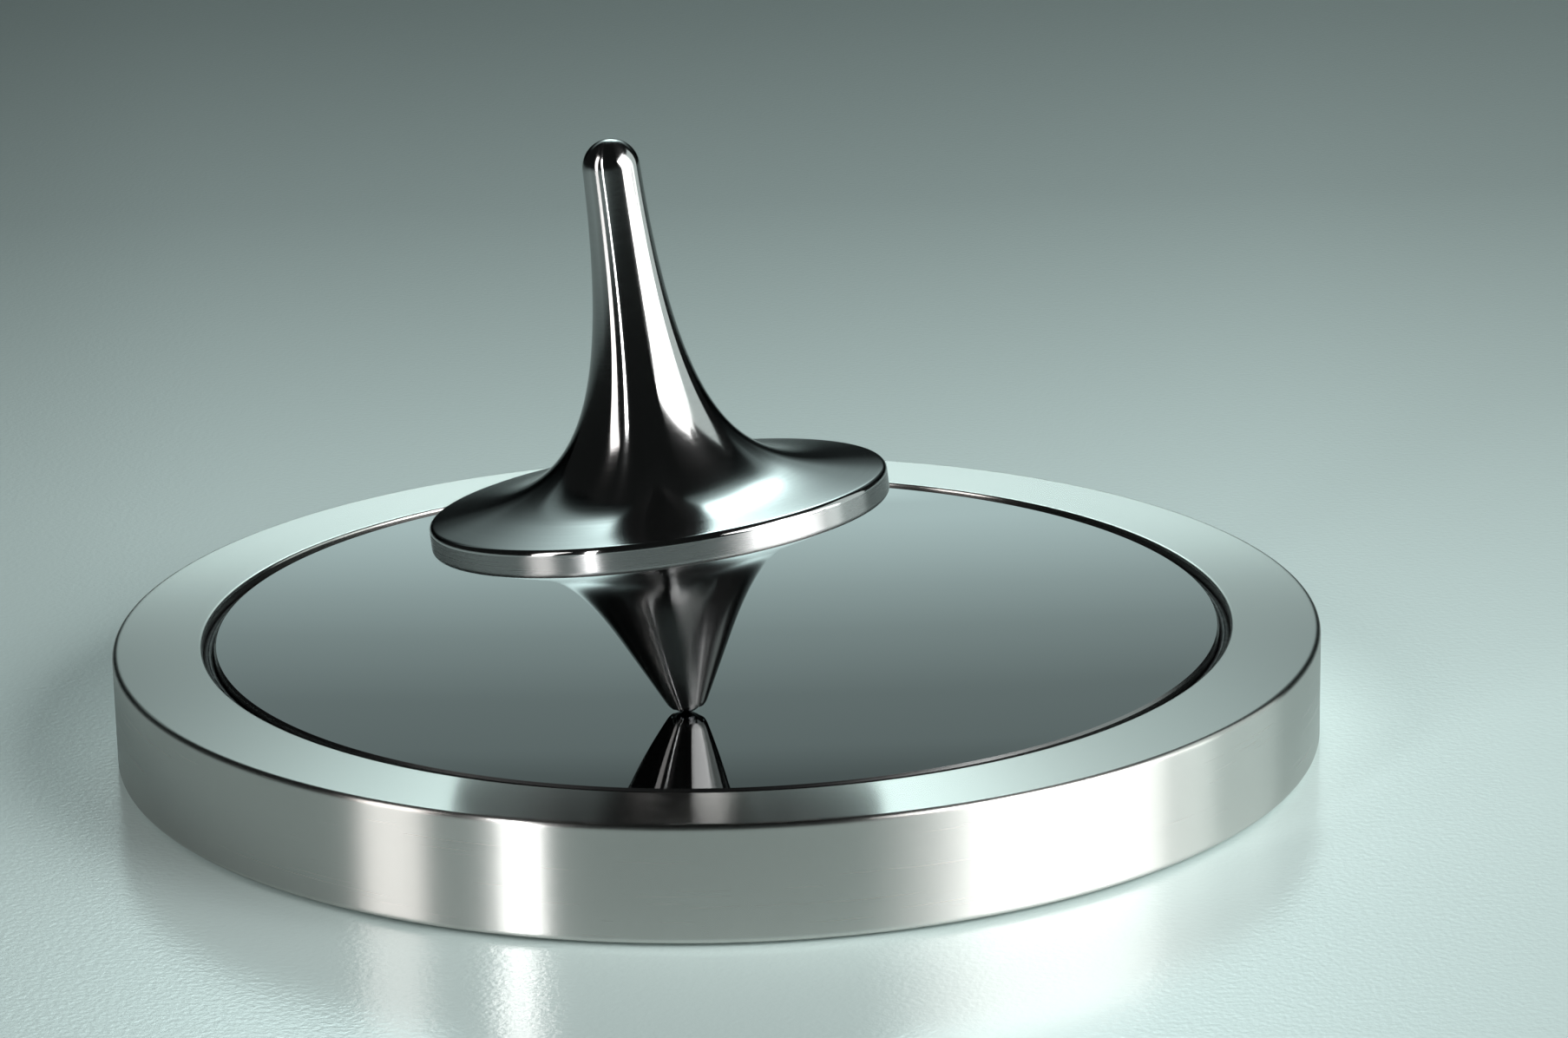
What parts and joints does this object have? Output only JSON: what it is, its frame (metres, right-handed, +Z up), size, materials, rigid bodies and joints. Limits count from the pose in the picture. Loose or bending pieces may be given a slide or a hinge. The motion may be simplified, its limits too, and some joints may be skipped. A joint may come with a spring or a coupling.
{
  "type": "spinning top",
  "caption": "Turned steel spinning top with a slim flared stem, thin flywheel and ball tip, leaning in its spin on a heavy round base with a hollow mirror.",
  "frame": {"origin": "centre of the base, on the plane it stands on", "axes": "+Z up; the near side of the base, where the top stands, is towards -Y, and +X is to the right seen from there"},
  "size_m": [0.08, 0.08, 0.0432],
  "materials": {
    "turned_steel": "turned and polished stainless steel",
    "ball_steel": "mirror-polished hardened steel",
    "base_steel": "finely turned stainless steel, brushed round its side",
    "mirror_face": "polished, slightly hollow mirror",
    "gasket_rubber": "smooth black rubber",
    "foam_tape": "double-sided foam tape",
    "pad_rubber": "fine-grained black rubber"
  },
  "bodies": {
    "base": {"base_body": "base_steel", "mirror_disc": "mirror_face", "mirror_gasket": "gasket_rubber", "mirror_tape": "foam_tape", "grip_pad": "pad_rubber", "pad_tape": "foam_tape"},
    "tip": {"tip_ball": "ball_steel"},
    "top": {"top_body": "turned_steel"}
  },
  "joints": [
    {"name": "precession", "type": "hinge", "parent": "base", "child": "tip", "pos_m": [-0.0021, -0.0153, 0.00787], "axis": [0, 0, 1], "continuous": true},
    {"name": "spin", "type": "hinge", "parent": "tip", "child": "top", "pos_m": [-0.0021, -0.0153, 0.00787], "axis": [-0.1124, 0.073, 0.991], "continuous": true}
  ]
}
